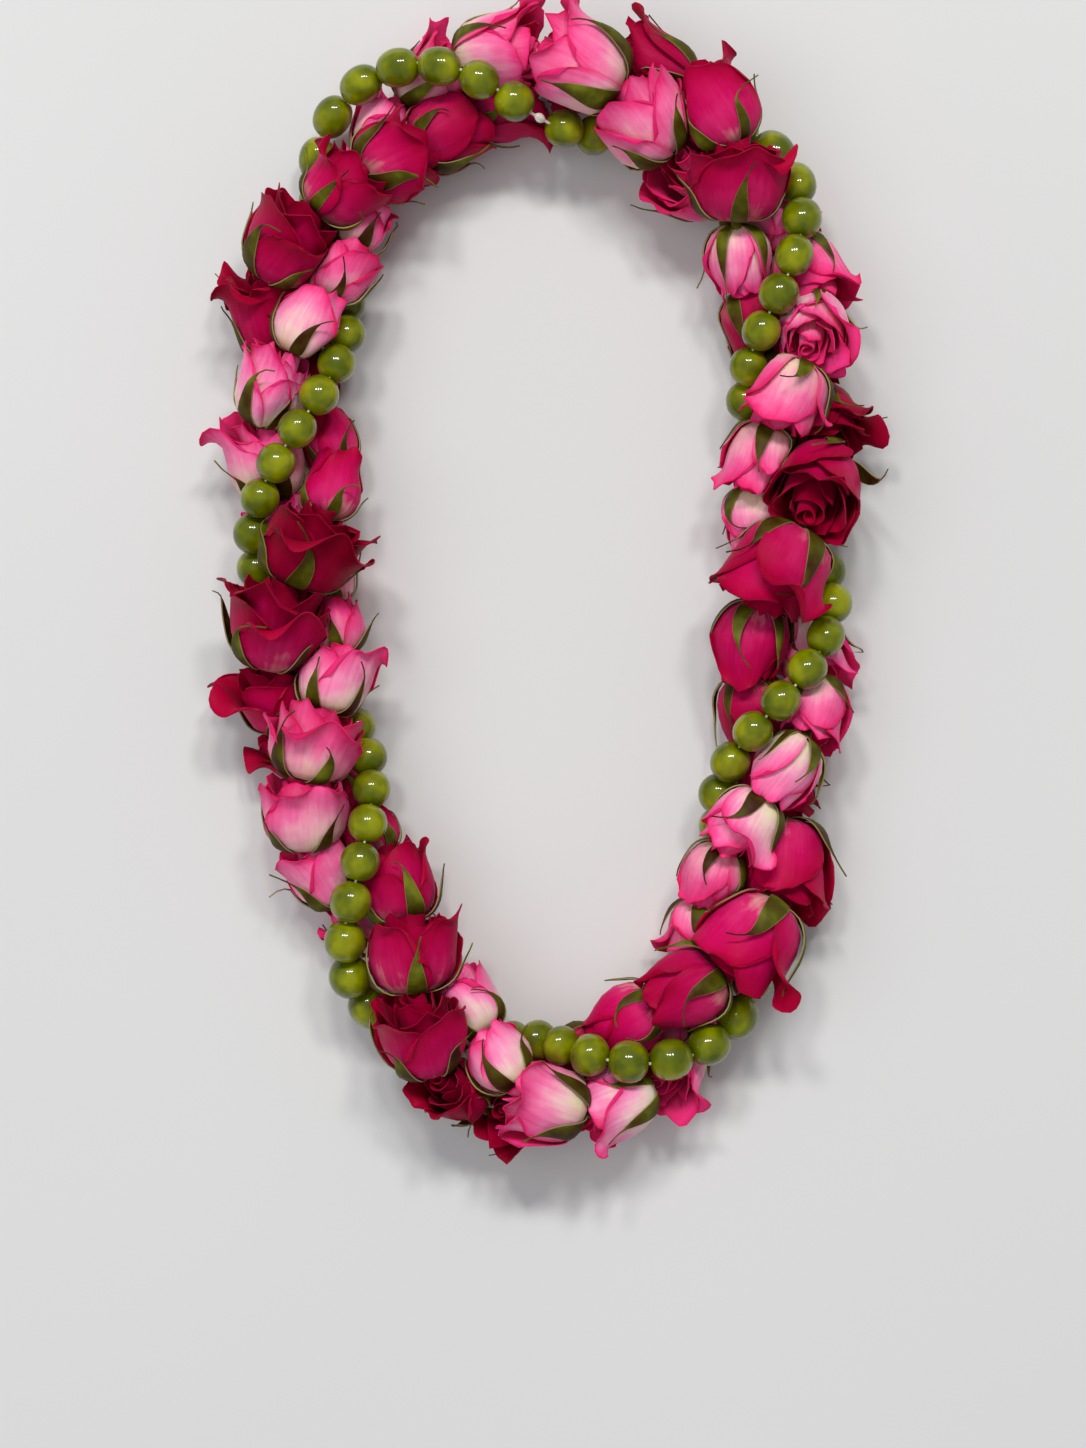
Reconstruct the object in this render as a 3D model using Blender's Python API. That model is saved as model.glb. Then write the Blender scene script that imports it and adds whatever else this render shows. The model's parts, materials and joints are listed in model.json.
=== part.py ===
"""A rope lei of roses and green berries, laid flat on a table.

Three strings are twisted round each other right-handed: one of magenta roses,
one of pink roses and one of round green berries. Each string is a thread that
runs through its flowers or berries and is knotted where its ends meet, at the
back of the neck. X points right and +Y to the back of the neck. The lei lies
on z = 0, with the origin under the middle of its bounding box.
"""

import bisect
import math
import random

import bmesh
import bpy
from mathutils import Vector

MM = 0.001

# The photograph gives the loop's outline. A lei is about a metre round.
METRES_PER_PIXEL = 0.395 * MM
ORIGIN_PIXEL = (546.0, 580.0)
LOOP_PIXELS = [
    (540, 86), (438, 97), (354, 152), (314, 232), (300, 330), (299, 450),
    (300, 570), (307, 680), (329, 795), (366, 900), (418, 1005), (482, 1070),
    (550, 1088), (615, 1068), (674, 1022), (722, 955), (751, 870), (768, 775),
    (781, 675), (788, 565), (792, 450), (788, 345), (770, 250), (730, 158),
    (642, 98),
]
SPLINE_STEPS = 16

# Where each string crosses the top of the rope, once a turn. All make the
# same number of turns, in the order berries, magenta, pink.
CROSSING_PIXELS = {
    "berry": [(303, 435), (352, 885), (632, 1058), (779, 699), (783, 292), (480, 90)],
    "magenta": [(300, 560), (413, 1005), (705, 975), (790, 545), (738, 175), (322, 215)],
    "pink": [(300, 350), (318, 740), (520, 1085), (765, 790), (793, 385), (620, 93)],
}

# How far each string's middle runs from the rope's middle.
ROSE_OFFSET = 14.5 * MM
BERRY_OFFSET = 19.0 * MM
ROPE_HEIGHT = 27.6 * MM

# Small, medium, long, open, wide and extra large roses: the length of string
# that each takes, its radius, and how far its outer petals flare.
ROSE_SIZES = {
    "s": (20 * MM, 13.0 * MM, 0.90),
    "m": (24 * MM, 14.5 * MM, 0.95),
    "l": (28 * MM, 16.0 * MM, 0.98),
    "o": (25 * MM, 17.0 * MM, 1.05),
    "w": (27 * MM, 18.5 * MM, 1.08),
    "x": (31 * MM, 19.5 * MM, 1.10),
}
# The roses along each string, from the knot down the left side and back up.
ROSES = {
    "magenta": "lllmwlmsswxmssslwwsmllwxxlllxxmsmmwlml",
    "pink": "lmmsmmmllmssmoommllmommlmmmommlmmommlxxx",
}
# Roses face back along the string, but the last few on the right side face
# on along it, so that both ends of each string face the knot.
TURNED_ROUND = {"magenta": 4, "pink": 3}
ROSES_PER_NODE = 2
PETALS_ROUND = 4
COLUMNS = 2 * PETALS_ROUND
COLUMN_ANGLE = 2 * math.pi / COLUMNS

# Each ring of a rose, from calyx to heart: its radius and height at a petal's
# middle, then where two petals meet, as shares of the rose's own.
ROSE_RINGS = [
    (0.38, 0.10, 0.38, 0.10),
    (0.90, 0.33, 0.84, 0.33),
    (1.03, 0.64, 0.93, 0.62),
    (1.04, 0.95, 0.84, 0.82),
    (0.68, 0.72, 0.63, 0.68),
    (0.36, 0.87, 0.46, 0.97),
]
RIM = 3
RIM_WAVE = 0.06
SEED = 11
ROSE_MIDDLE = 0.52

# Sepals: how wide each is where it leaves the petals, how near it keeps to its
# column's middle, and the radius and height of its inner and outer face there.
SEPALS = 5
SEPAL_HALF_ANGLE = 0.17
SEPAL_MARGIN = 0.24
SEPAL_INNER = (1.09, 0.50)
SEPAL_OUTER = (1.15, 0.37)
SEPAL_SPREAD = (1.10, 1.34)
# A sepal's tip rises this high, less this share of how far it spreads.
SEPAL_RISE = 1.38
SEPAL_FALL = 0.5

BERRY_COUNT = 74
BERRY_RADIUS = 8.4 * MM
BERRIES_PER_NODE = 5
# A berry's rings: radius, and place along the string, as shares of its radius.
BERRY_RINGS = [(0.72, -0.69), (1.0, 0.0), (0.72, 0.69)]

THREAD_RADIUS = 0.55 * MM
HOLE_RADIUS = 1.35 * MM
NECK_RADIUS = 2.6 * MM
HOLE_SIDES = 4
END_INSET = 0.5 * MM
KNOT_GAP = 7.0 * MM
# Places along the gap between the string's two ends, and how the knot swells.
KNOT_SWELL = [(0.20, 1.0), (0.36, 2.9), (0.50, 3.4), (0.64, 2.9), (0.80, 1.0)]

# Neighbours keep this gap. Within reach of each other they press petals in,
# past a share of the way to where they meet. Petals pressed this far below the
# table are cut off flat.
CLEARANCE = 0.3 * MM
REACH = 62 * MM
PRESS_START = 0.65
REST_CUT = 1.6 * MM
WELD = 0.001 * MM

UP = Vector((0, 0, 1))


def clear_scene():
    for old in list(bpy.data.objects):
        bpy.data.objects.remove(old, do_unlink=True)


def material(name, colour, roughness):
    made = bpy.data.materials.new(name)
    made.use_nodes = True
    shader = made.node_tree.nodes["Principled BSDF"]
    shader.inputs["Base Color"].default_value = (*colour, 1)
    shader.inputs["Roughness"].default_value = roughness
    shader.inputs["Metallic"].default_value = 0
    made.diffuse_color = (*colour, 1)
    return made


def from_pixel(pixel):
    right = (pixel[0] - ORIGIN_PIXEL[0]) * METRES_PER_PIXEL
    up = (ORIGIN_PIXEL[1] - pixel[1]) * METRES_PER_PIXEL
    return Vector((right, up, 0))


class Loop:
    """The rope's middle line, a closed smooth curve measured along its length."""

    def __init__(self):
        knots = [from_pixel(p) for p in LOOP_PIXELS]
        self.points = []
        for i in range(len(knots)):
            before, start, end, after = (knots[(i + k) % len(knots)] for k in (-1, 0, 1, 2))
            for step in range(SPLINE_STEPS):
                t = step / SPLINE_STEPS
                bend = 2 * before - 5 * start + 4 * end - after
                swing = 3 * (start - end) + after - before
                self.points.append(
                    start + 0.5 * ((end - before) * t + bend * t ** 2 + swing * t ** 3))
        self.at = [0.0]
        for here, following in zip(self.points, self.points[1:] + self.points[:1]):
            self.at.append(self.at[-1] + (following - here).length)
        self.length = self.at[-1]

    def middle(self, s):
        """The point at s, and the way along the loop there."""
        s %= self.length
        i = min(bisect.bisect_right(self.at, s), len(self.points)) - 1
        start = self.points[i]
        end = self.points[(i + 1) % len(self.points)]
        share = (s - self.at[i]) / (self.at[i + 1] - self.at[i])
        return start.lerp(end, share), (end - start).normalized()

    def nearest(self, pixel):
        spot = from_pixel(pixel)
        best = min(range(len(self.points)), key=lambda i: (self.points[i] - spot).length)
        return self.at[best]


class Strand:
    """One string: where it runs round the rope's middle, along the loop."""

    def __init__(self, loop, name, offset, shares):
        self.loop = loop
        self.name = name
        self.offset = offset
        self.tops = sorted(loop.nearest(p) for p in CROSSING_PIXELS[name])
        scale = (loop.length - KNOT_GAP) / sum(shares)
        self.joints = [KNOT_GAP / 2]
        for share in shares:
            self.joints.append(self.joints[-1] + share * scale)

    def turn(self, s):
        """The string's angle round the rope: 0 is inside the loop, 90 on top."""
        s %= self.loop.length
        tops = [self.tops[-1] - self.loop.length, *self.tops, self.tops[0] + self.loop.length]
        i = bisect.bisect_right(tops, s) - 1
        share = (s - tops[i]) / (tops[i + 1] - tops[i])
        return 2 * math.pi * (i + share) + math.pi / 2

    def outward(self, s):
        inner = UP.cross(self.loop.middle(s)[1])
        angle = self.turn(s)
        return inner * math.cos(angle) + UP * math.sin(angle)

    def point(self, s):
        return self.loop.middle(s)[0] + UP * ROPE_HEIGHT + self.outward(s) * self.offset


class Bead:
    """A stretch of a string that one rose or berry takes up."""

    def __init__(self, strand, start, end):
        self.first = strand.point(start)
        self.last = strand.point(end)
        self.way = (self.last - self.first).normalized()
        outward = strand.outward((start + end) / 2)
        self.side = (outward - self.way * outward.dot(self.way)).normalized()
        self.across = self.way.cross(self.side)


class Berry(Bead):
    """A round berry, threaded through its middle."""

    def __init__(self, strand, start, end):
        super().__init__(strand, start, end)
        self.middle = (self.first + self.last) / 2
        self.reach = min(BERRY_RADIUS, (self.last - self.first).length / 2)

    def rings(self, bm, wave):
        return [
            ring(bm, self.middle + self.way * height * self.reach, self,
                 radius * BERRY_RADIUS, COLUMNS)
            for radius, height in BERRY_RINGS]


class Rose(Bead):
    """One rose head, with its base, its axis and the cell it may fill."""

    def __init__(self, strand, start, end, size, faces_on):
        super().__init__(strand, start, end)
        self.radius = ROSE_SIZES[size][1]
        self.flare = ROSE_SIZES[size][2]
        self.faces_on = faces_on
        self.base = self.first if faces_on else self.last
        self.axis = self.way if faces_on else -self.way
        self.height = (self.last - self.first).length
        self.middle = self.base + self.axis * self.height * ROSE_MIDDLE
        self.planes = [(-UP, self.middle.z + REST_CUT)]

    def spot(self, radius, angle, height):
        outward = self.side * math.cos(angle) + self.across * math.sin(angle)
        return self.base + self.axis * height * self.height + outward * radius * self.radius

    def room(self, point):
        """How far the rose's cell reaches from its middle, towards the point."""
        way = (point - self.middle).normalized()
        return min((d / n.dot(way) for n, d in self.planes if n.dot(way) > 0), default=REACH)

    def pressed(self, point):
        """The point, drawn in towards the rose's middle where a neighbour presses."""
        away = point - self.middle
        limit = self.room(point)
        free = limit * PRESS_START
        if away.length <= free:
            return point
        give = limit - free
        return self.middle + away.normalized() * (
            free + give * math.tanh((away.length - free) / give))

    def rings(self, bm, wave):
        """Rings in the string's order. Even columns are the middles of petals."""
        made = []
        for level, (mid_radius, mid_height, edge_radius, edge_height) in enumerate(ROSE_RINGS):
            loop = []
            for column in range(COLUMNS):
                radius, height = mid_radius, mid_height
                if column % 2:
                    radius, height = edge_radius, edge_height
                if level == RIM:
                    radius *= self.flare + wave.uniform(-RIM_WAVE, RIM_WAVE)
                angle = column * COLUMN_ANGLE
                loop.append(bm.verts.new(self.pressed(self.spot(radius, angle, height))))
            made.append(loop)
        return made if self.faces_on else made[::-1]

    def add_sepals(self, bm, calyx, wave):
        """Pointed sepals drawn out of the calyx, each where it has room."""
        slack = COLUMN_ANGLE / 2 - SEPAL_MARGIN
        for i in range(SEPALS):
            angle = 2 * math.pi * (i + 0.5) / SEPALS
            column = int(angle / COLUMN_ANGLE)
            middle = (column + 0.5) * COLUMN_ANGLE
            angle = min(max(angle, middle - slack), middle + slack)
            spread = wave.uniform(*SEPAL_SPREAD)
            tip = self.spot(spread, angle, SEPAL_RISE - SEPAL_FALL * spread)
            corners = [
                self.spot(radius, angle + side, height)
                for radius, height in (SEPAL_INNER, SEPAL_OUTER)
                for side in (SEPAL_HALF_ANGLE, -SEPAL_HALF_ANGLE)]
            if all(self.room(p) > (p - self.middle).length for p in [tip, *corners]):
                self.draw_sepal(bm, calyx[column], corners, tip)

    def draw_sepal(self, bm, face, corners, tip):
        drawn = bmesh.ops.extrude_discrete_faces(bm, faces=[face])["faces"][0]
        inner_side = sorted(drawn.verts, key=lambda v: (v.co - self.base).dot(self.axis))[2:]
        for pair, places in (
                (inner_side, corners[:2]),
                ([v for v in drawn.verts if v not in inner_side], corners[2:])):
            nearer = (pair[0].co - places[0]).length < (pair[1].co - places[0]).length
            for vertex, place in zip(pair, places if nearer else places[::-1]):
                vertex.co = self.pressed(place)
        point = bmesh.ops.poke(bm, faces=[drawn])["verts"][0]
        point.co = self.pressed(tip)
        for vertex in {v for face in point.link_faces for v in face.verts}:
            for wall in vertex.link_faces:
                wall.material_index = 1


def part_neighbours(strings, berries):
    """Sets a flat boundary between every two roses near each other, and each berry."""
    for roses in strings:
        for first, second in zip(roses, roses[1:] + roses[:1]):
            meet = (first.last + second.first) / 2
            normal = (second.middle - first.middle).normalized()
            first.planes.append((normal, normal.dot(meet - first.middle) - CLEARANCE / 2))
            second.planes.append((-normal, normal.dot(second.middle - meet) - CLEARANCE / 2))
    for first in strings[0]:
        for second in strings[1]:
            gap = second.middle - first.middle
            if gap.length > REACH:
                continue
            normal = gap.normalized()
            share = (gap.length ** 2 + first.radius ** 2 - second.radius ** 2) / (2 * gap.length)
            first.planes.append((normal, share - CLEARANCE / 2))
            second.planes.append((-normal, gap.length - share - CLEARANCE / 2))
    for rose in strings[0] + strings[1]:
        for berry in berries:
            gap = berry.middle - rose.middle
            if gap.length < REACH:
                rose.planes.append((gap.normalized(), gap.length - BERRY_RADIUS - CLEARANCE))


def ring(bm, centre, frame, radius, sides):
    made = []
    for i in range(sides):
        angle = 2 * math.pi * i / sides
        outward = frame.side * math.cos(angle) + frame.across * math.sin(angle)
        made.append(bm.verts.new(centre + outward * radius))
    return made


class Neck:
    """The directions of a ring where two beads join."""

    def __init__(self, before, after):
        way = (before.way + after.way).normalized()
        side = before.side + after.side
        self.side = (side - way * side.dot(way)).normalized()
        self.across = way.cross(self.side)


def lace(bm, lower, upper):
    """Joins two rings with faces. One may have twice the corners of the other."""
    flipped = len(lower) > len(upper)
    few, many = (upper, lower) if flipped else (lower, upper)
    ratio = len(many) // len(few)
    made = []
    for i in range(len(many)):
        here = few[i // ratio]
        following = few[(i + 1) // ratio % len(few)]
        corners = [here, following, many[(i + 1) % len(many)], many[i]]
        if here is following:
            corners.remove(here)
        made.append(bm.faces.new(corners[::-1] if flipped else corners))
    return made


def string_together(beads, wave):
    """One closed solid of beads joined end to end, with a hole right through."""
    bm = bmesh.new()
    first, last = beads[0], beads[-1]
    outside = ring(bm, first.first + first.way * END_INSET, first, HOLE_RADIUS, HOLE_SIDES)
    hole = [outside]
    for bead, following in zip(beads, [*beads[1:], None]):
        rings = bead.rings(bm, wave)
        lace(bm, outside, rings[0])
        walls = [lace(bm, lower, upper) for lower, upper in zip(rings, rings[1:])]
        if following:
            neck = Neck(bead, following)
            outside = ring(bm, bead.last, neck, NECK_RADIUS, HOLE_SIDES)
            hole.append(ring(bm, bead.last, neck, HOLE_RADIUS, HOLE_SIDES))
        else:
            outside = ring(bm, last.last - last.way * END_INSET, last, HOLE_RADIUS, HOLE_SIDES)
            hole.append(outside)
        lace(bm, rings[-1], outside)
        if isinstance(bead, Rose):
            bead.add_sepals(bm, walls[0] if bead.faces_on else walls[-1], wave)
    for lower, upper in zip(hole, hole[1:]):
        lace(bm, upper, lower)
    return bm


def cut_flat(bm):
    """Cuts off what is below the table, which leaves small flat spots to rest on."""
    bmesh.ops.triangulate(bm, faces=bm.faces)
    cut = bmesh.ops.bisect_plane(
        bm, geom=[*bm.verts, *bm.edges, *bm.faces], dist=WELD,
        plane_co=(0, 0, 0), plane_no=(0, 0, -1), clear_outer=True)
    edges = [e for e in cut["geom_cut"] if isinstance(e, bmesh.types.BMEdge)]
    if edges:
        bmesh.ops.holes_fill(bm, edges=edges)


def build_groups(name, beads, per_node, slots, collection, wave):
    for i in range(0, len(beads), per_node):
        bm = string_together(beads[i:i + per_node], wave)
        cut_flat(bm)
        bmesh.ops.recalc_face_normals(bm, faces=bm.faces)
        mesh = bpy.data.meshes.new(f"{name}_{i // per_node + 1:02d}")
        bm.to_mesh(mesh)
        bm.free()
        for slot in slots:
            mesh.materials.append(slot)
        collection.objects.link(bpy.data.objects.new(mesh.name, mesh))


def build_thread(name, strand, slot, collection):
    """The knotted loop of thread that a string's beads are on."""
    last = strand.point(strand.joints[-1])
    first = strand.point(strand.joints[0])
    route = [(strand.point(s), 1.0) for s in strand.joints]
    route += [(last.lerp(first, share), swell) for share, swell in KNOT_SWELL]
    curve = bpy.data.curves.new(name, "CURVE")
    curve.dimensions = "3D"
    curve.bevel_depth = THREAD_RADIUS
    curve.bevel_resolution = 0
    spline = curve.splines.new("POLY")
    spline.points.add(len(route) - 1)
    for point, (place, swell) in zip(spline.points, route):
        point.co = (*place, 1)
        point.radius = swell
    spline.use_cyclic_u = True
    curve.materials.append(slot)
    collection.objects.link(bpy.data.objects.new(name, curve))


def main():
    clear_scene()
    lei = bpy.data.collections.new("rose_and_berry_lei")
    bpy.context.scene.collection.children.link(lei)
    wave = random.Random(SEED)

    sepal = material("olive green sepal", (0.16, 0.20, 0.04), 0.55)
    petals = {
        "magenta": [material("magenta petal", (0.47, 0.0, 0.08), 0.6), sepal],
        "pink": [material("pink petal", (0.88, 0.25, 0.48), 0.6), sepal],
    }
    berry_skin = material("green berry skin", (0.20, 0.32, 0.01), 0.25)
    cotton = material("white cotton thread", (0.8, 0.78, 0.7), 0.9)

    loop = Loop()
    berry_strand = Strand(loop, "berry", BERRY_OFFSET, [1] * BERRY_COUNT)
    ends = berry_strand.joints
    berries = [Berry(berry_strand, a, b) for a, b in zip(ends, ends[1:])]
    rose_strands = []
    strings = []
    for name, sizes in ROSES.items():
        strand = Strand(loop, name, ROSE_OFFSET, [ROSE_SIZES[size][0] for size in sizes])
        turned = len(sizes) - TURNED_ROUND[name]
        strings.append([
            Rose(strand, strand.joints[k], strand.joints[k + 1], size, k >= turned)
            for k, size in enumerate(sizes)])
        rose_strands.append(strand)
    part_neighbours(strings, berries)

    for strand, roses in zip(rose_strands, strings):
        build_groups(
            f"{strand.name}_roses", roses, ROSES_PER_NODE, petals[strand.name], lei, wave)
        build_thread(f"{strand.name}_thread", strand, cotton, lei)
    build_groups("green_berries", berries, BERRIES_PER_NODE, [berry_skin], lei, wave)
    build_thread("berry_thread", berry_strand, cotton, lei)


main()
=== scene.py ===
# %% [markdown]
# # A rope lei of roses and green berries
# This lei is three strings twisted into one rope: magenta roses, pink roses and
# round green berries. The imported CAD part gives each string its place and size.
# Here every flower head gets its real petals, sepals and finish, inside the same
# space, so nothing has to be fitted afterwards.

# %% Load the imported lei
import bisect
import json
import math
import random

import bpy
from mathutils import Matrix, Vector

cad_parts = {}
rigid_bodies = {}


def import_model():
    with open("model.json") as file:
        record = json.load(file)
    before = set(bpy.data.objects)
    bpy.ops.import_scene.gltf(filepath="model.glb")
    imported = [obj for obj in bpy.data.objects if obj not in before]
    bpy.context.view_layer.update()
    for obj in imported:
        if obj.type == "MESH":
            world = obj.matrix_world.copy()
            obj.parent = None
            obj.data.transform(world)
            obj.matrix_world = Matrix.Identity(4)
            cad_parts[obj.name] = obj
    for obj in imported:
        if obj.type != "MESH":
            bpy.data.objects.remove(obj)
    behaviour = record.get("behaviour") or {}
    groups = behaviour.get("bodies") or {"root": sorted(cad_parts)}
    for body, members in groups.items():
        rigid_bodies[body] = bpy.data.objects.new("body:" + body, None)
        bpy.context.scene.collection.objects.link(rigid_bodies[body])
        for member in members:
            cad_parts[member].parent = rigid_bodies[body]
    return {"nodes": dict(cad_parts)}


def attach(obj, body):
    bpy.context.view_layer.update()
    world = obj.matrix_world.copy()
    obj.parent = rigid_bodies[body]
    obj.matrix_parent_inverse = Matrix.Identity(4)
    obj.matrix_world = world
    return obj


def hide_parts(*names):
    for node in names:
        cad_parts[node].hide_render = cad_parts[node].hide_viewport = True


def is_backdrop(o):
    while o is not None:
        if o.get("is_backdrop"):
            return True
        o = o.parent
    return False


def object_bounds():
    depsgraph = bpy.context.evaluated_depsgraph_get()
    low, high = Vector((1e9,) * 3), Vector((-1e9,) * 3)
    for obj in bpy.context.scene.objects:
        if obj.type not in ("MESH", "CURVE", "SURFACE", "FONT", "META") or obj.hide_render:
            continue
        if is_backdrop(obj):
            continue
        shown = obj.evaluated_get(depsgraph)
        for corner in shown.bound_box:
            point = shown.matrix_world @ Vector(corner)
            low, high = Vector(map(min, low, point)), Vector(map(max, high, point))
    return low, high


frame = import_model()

MM = 0.001
UP = Vector((0, 0, 1))


def rounded(box):
    """A box's two corners, rounded to be printed."""
    return [[round(value, 4) for value in corner] for corner in box]


cad_box = [list(corner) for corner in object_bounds()]
print("CAD box in metres:", rounded(cad_box))

# %% [markdown]
# ## The rope
# A string of flowers is easiest to model from the line that it runs along. That
# line could be drawn as a curve object, but each rose has to ask it for a place and
# a direction, so it is kept as points. The rope's middle line is a closed smooth
# curve, and each string winds round it once between two places where it crosses
# the top. These are the part's own values, so each rose lands in its solid's space.

# %% The line through the rope
METRES_PER_PIXEL = 0.395 * MM
ORIGIN_PIXEL = (546.0, 580.0)
LOOP_PIXELS = [
    (540, 86), (438, 97), (354, 152), (314, 232), (300, 330), (299, 450),
    (300, 570), (307, 680), (329, 795), (366, 900), (418, 1005), (482, 1070),
    (550, 1088), (615, 1068), (674, 1022), (722, 955), (751, 870), (768, 775),
    (781, 675), (788, 565), (792, 450), (788, 345), (770, 250), (730, 158),
    (642, 98),
]
ROPE_STEPS = 16     # points on the line from one of these to the next


def from_pixel(pixel):
    """Where a place in the picture lies on the table."""
    right = (pixel[0] - ORIGIN_PIXEL[0]) * METRES_PER_PIXEL
    up = (ORIGIN_PIXEL[1] - pixel[1]) * METRES_PER_PIXEL
    return Vector((right, up, 0))


def smooth_line(knots, steps, closed=False):
    """Closely spaced points on a smooth curve through the knots."""
    count = len(knots)
    line = []
    for i in range(count if closed else count - 1):
        near = [(i + k) % count if closed else min(max(i + k, 0), count - 1)
                for k in (-1, 0, 1, 2)]
        before, start, end, after = (knots[k] for k in near)
        for step in range(steps):
            t = step / steps
            bend = 2 * before - 5 * start + 4 * end - after
            swing = 3 * (start - end) + after - before
            line.append(start + 0.5 * ((end - before) * t + bend * t ** 2 + swing * t ** 3))
    return line if closed else [*line, knots[-1]]


class Rope:
    """The rope's middle line, measured along its length."""

    def __init__(self):
        self.points = smooth_line([from_pixel(p) for p in LOOP_PIXELS], ROPE_STEPS, closed=True)
        self.at = [0.0]
        for here, following in zip(self.points, self.points[1:] + self.points[:1]):
            self.at.append(self.at[-1] + (following - here).length)
        self.length = self.at[-1]

    def middle(self, s):
        """The point at s, and the way along the rope there."""
        s %= self.length
        i = min(bisect.bisect_right(self.at, s), len(self.points)) - 1
        start, end = self.points[i], self.points[(i + 1) % len(self.points)]
        share = (s - self.at[i]) / (self.at[i + 1] - self.at[i])
        return start.lerp(end, share), (end - start).normalized()

    def nearest(self, pixel):
        """How far along the rope is nearest to a place in the picture."""
        spot = from_pixel(pixel)
        return self.at[min(range(len(self.points)),
                           key=lambda i: (self.points[i] - spot).length)]


rope = Rope()
print("rope length in mm:", round(rope.length / MM))

# %% The three strings round it
# Where each string crosses the top of the rope.
CROSSING_PIXELS = {
    "berry": [(303, 435), (352, 885), (632, 1058), (779, 699), (783, 292), (480, 90)],
    "magenta": [(300, 560), (413, 1005), (705, 975), (790, 545), (738, 175), (322, 215)],
    "pink": [(300, 350), (318, 740), (520, 1085), (765, 790), (793, 385), (620, 93)],
}
STRING_OFFSET = {"berry": 19.0 * MM, "magenta": 14.5 * MM, "pink": 14.5 * MM}
ROPE_HEIGHT = 27.6 * MM
KNOT_GAP = 7.0 * MM


class String:
    """One string's line, and the joints between the beads along it."""

    def __init__(self, name, shares):
        self.name = name
        self.tops = sorted(rope.nearest(p) for p in CROSSING_PIXELS[name])
        scale = (rope.length - KNOT_GAP) / sum(shares)
        self.joints = [KNOT_GAP / 2]
        for share in shares:
            self.joints.append(self.joints[-1] + share * scale)

    def outward(self, s):
        """The way from the rope's middle to the string at s."""
        s %= rope.length
        tops = [self.tops[-1] - rope.length, *self.tops, self.tops[0] + rope.length]
        i = bisect.bisect_right(tops, s) - 1
        turns = i + (s - tops[i]) / (tops[i + 1] - tops[i])
        angle = math.tau * turns + math.pi / 2
        inner = UP.cross(rope.middle(s)[1])
        return inner * math.cos(angle) + UP * math.sin(angle)

    def point(self, s):
        return (rope.middle(s)[0] + UP * ROPE_HEIGHT
                + self.outward(s) * STRING_OFFSET[self.name])


print("times that a string winds round the rope:",
      {name: len(pixels) for name, pixels in CROSSING_PIXELS.items()})

# %% [markdown]
# ## The flower heads and their room
# On a real lei the flowers press each other into shape. A soft-body simulation
# could do that, but it would settle a little differently from the CAD part. Here
# every rose has a flat boundary with each neighbour, and a petal that would cross
# one is drawn back towards its rose's middle. That squashes the petals as a tight
# string does, and keeps each rose near its own place.

# %% Sizes and forms of the roses
# Each size: the length of string it takes, and its radius.
ROSE_SIZES = {
    "s": (20 * MM, 13.0 * MM), "m": (24 * MM, 14.5 * MM), "l": (28 * MM, 16.0 * MM),
    "o": (25 * MM, 17.0 * MM), "w": (27 * MM, 18.5 * MM), "x": (31 * MM, 19.5 * MM),
}
SIZES = {
    "magenta": "lllmwlmsswxmssslwwsmllwxxlllxxmsmmwlml",
    "pink": "lmmsmmmllmssmoommllmommlmmmommlmmommlxxx",
}
# Each rose's form: bud, cup, open, half tipped, tipped up and facing up.
FORMS = {
    "magenta": "ccccocobboooccbcchtfcbbcccbbctoccboccc",
    "pink": "ccccccbcccobccccbccbcctccbcbcccccctcctcc",
}
# How deep each rose's colour is, from 0, pale, to 9.
DEEPEST = 9
DEPTHS = {
    "magenta": "44445592395465444378725236433386634355",
    "pink": "4444563145473643401121445611525345184744",
}
# How far its sepals are turned from having one on top, in tenths of the gap between two.
SEPALS = 5
GAP_STEPS = 10
SEPAL_TURNS = {
    "magenta": "38505245435736520537150028545063550472",
    "pink": "6270531535207555638765041326452720048536",
}
PINKER = [("magenta", 33)]                  # roses with the other string's colour
TURNED_ROUND = {"magenta": 4, "pink": 3}    # how many at the string's end face the other way
# How far each form tips up from the string, in degrees.
TIPPED = {"b": 2, "c": 5, "o": 10, "h": 24, "t": 42, "f": 58}
LEVELLED = 0.6          # how much of its string's slope a head makes up for
ROSE_MIDDLE = 0.52      # how far up a head its middle is
BERRY_COUNT = 74
BERRY_RADIUS = 8.4 * MM
for name, sizes in SIZES.items():
    print(name, "roses:", len(sizes), "forms:", len(FORMS[name]), "depths:", len(DEPTHS[name]))

# %% One rose's directions and cell
CLEARANCE = 0.3 * MM
FLOOR_CLEARANCE = 0.6 * MM
REACH = 62 * MM         # neighbours further away than this don't press
PRESS_START = 0.75      # the share of the room that petals fill freely
ROUNDING = 12           # how sharp the corners between two boundaries are
LEAST_SLANT = 0.05      # below this a boundary lies too far to the side to press
NESTING = 3.5 * MM      # how far a rim reaches round the next rose's hip


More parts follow.
